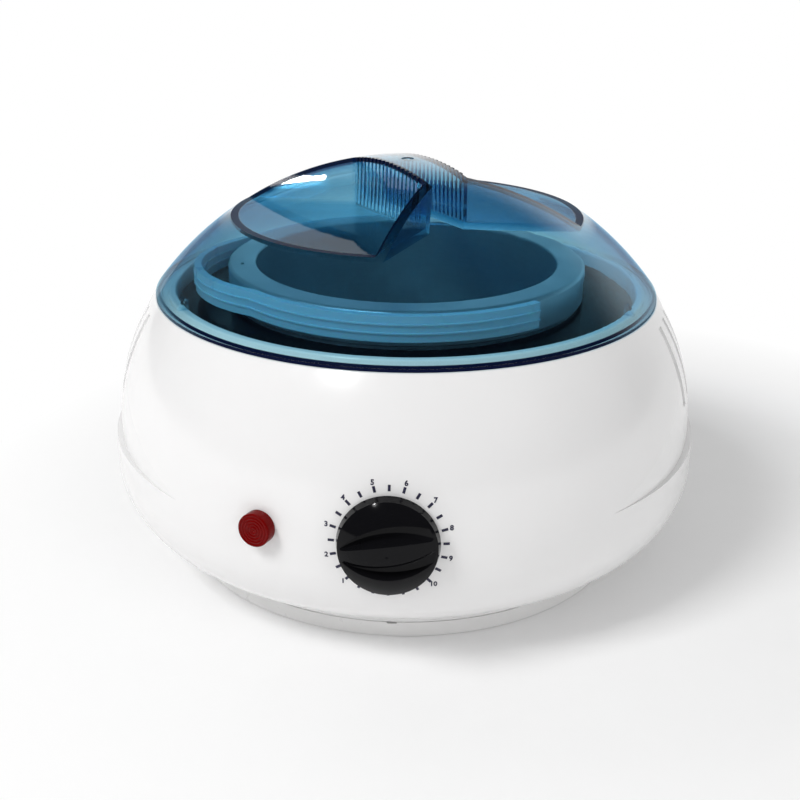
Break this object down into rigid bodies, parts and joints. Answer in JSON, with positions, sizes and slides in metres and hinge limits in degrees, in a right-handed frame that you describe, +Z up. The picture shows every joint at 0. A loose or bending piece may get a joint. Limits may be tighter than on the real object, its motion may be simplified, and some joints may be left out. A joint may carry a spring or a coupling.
{
  "type": "wax warmer",
  "caption": "Electric wax warmer: round white housing with hand grips, translucent blue domed lid, lift-out aluminium pot with handle, turning dial knob and red pilot lamp",
  "frame": {"origin": "centre of the standing rim, on the surface the warmer stands on", "axes": "+Z up, the knob faces -Y, the cord bushing points along +Y"},
  "size_m": [0.25, 0.2637, 0.1644],
  "materials": {
    "brass": "plain",
    "copper": "drawn copper tube",
    "cover_white": "fine satin moulding",
    "deck_black": "polished",
    "glass_fibre": "woven",
    "handle_clear": "milky",
    "housing_white": "fine satin moulding",
    "inner_black": "matt",
    "inner_cream": "ceramic filled",
    "knob_black": "polished",
    "lamp_red": "clear tinted plastic",
    "lid_blue": "clear tinted plastic, polished",
    "mica": "mica between sheet steel",
    "neon": "clear",
    "pot_aluminium": "spun and brushed",
    "rubber_grey": "matt",
    "screw_steel": "zinc plated",
    "sheet_steel": "bright sheet",
    "well_aluminium": "matt",
    "wire_white": "silicone"
  },
  "bodies": {
    "housing": {"base_cover": "cover_white", "base_screws": "screw_steel", "block_screws": "screw_steel", "bulb_clip": "sheet_steel", "bushing_nut": "inner_black", "capillary_tube": "copper", "clamp_strap": "sheet_steel", "cord_bushing": "inner_black", "foot_front_left": "rubber_grey", "foot_front_right": "rubber_grey", "foot_rear_left": "rubber_grey", "foot_rear_right": "rubber_grey", "fuse_clip": "sheet_steel", "heat_shield": "sheet_steel", "heater_band": "mica", "heating_well": "well_aluminium", "housing_shell": "housing_white", "insulation_wrap": "glass_fibre", "lamp_body": "neon", "lamp_clip": "sheet_steel", "lamp_lens": "lamp_red", "lead_fuse": "wire_white", "lead_heater": "wire_white", "lead_return": "wire_white", "lead_switch": "wire_white", "ring_screws": "screw_steel", "sensor_bulb": "copper", "shield_screws": "screw_steel", "shield_standoffs": "brass", "strap_nut": "screw_steel", "strap_screw": "screw_steel", "terminal_block": "inner_cream", "terminal_screws": "brass", "thermal_fuse": "brass", "thermostat_body": "inner_cream", "thermostat_screws": "screw_steel", "well_ring": "deck_black"},
    "knob": {"knob": "knob_black", "knob_clip": "sheet_steel", "thermostat_shaft": "brass"},
    "pot": {"wax_pot": "pot_aluminium", "pot_handle": "handle_clear", "pot_stud": "pot_aluminium"},
    "lid": {"lid": "lid_blue"}
  },
  "joints": [
    {"name": "knob_turn", "type": "hinge", "parent": "housing", "child": "knob", "pos_m": [0, -0.12465, 0.0567], "axis": [0, -0.9968, 0.0796], "range_deg": [-233.7, 36.3]},
    {"name": "pot_lift", "type": "slide", "parent": "housing", "child": "pot", "axis": [0, 0, 1], "range_m": [0, 0.085]},
    {"name": "lid_lift", "type": "slide", "parent": "pot", "child": "lid", "axis": [0, 0, 1], "range_m": [0, 0.06]}
  ]
}
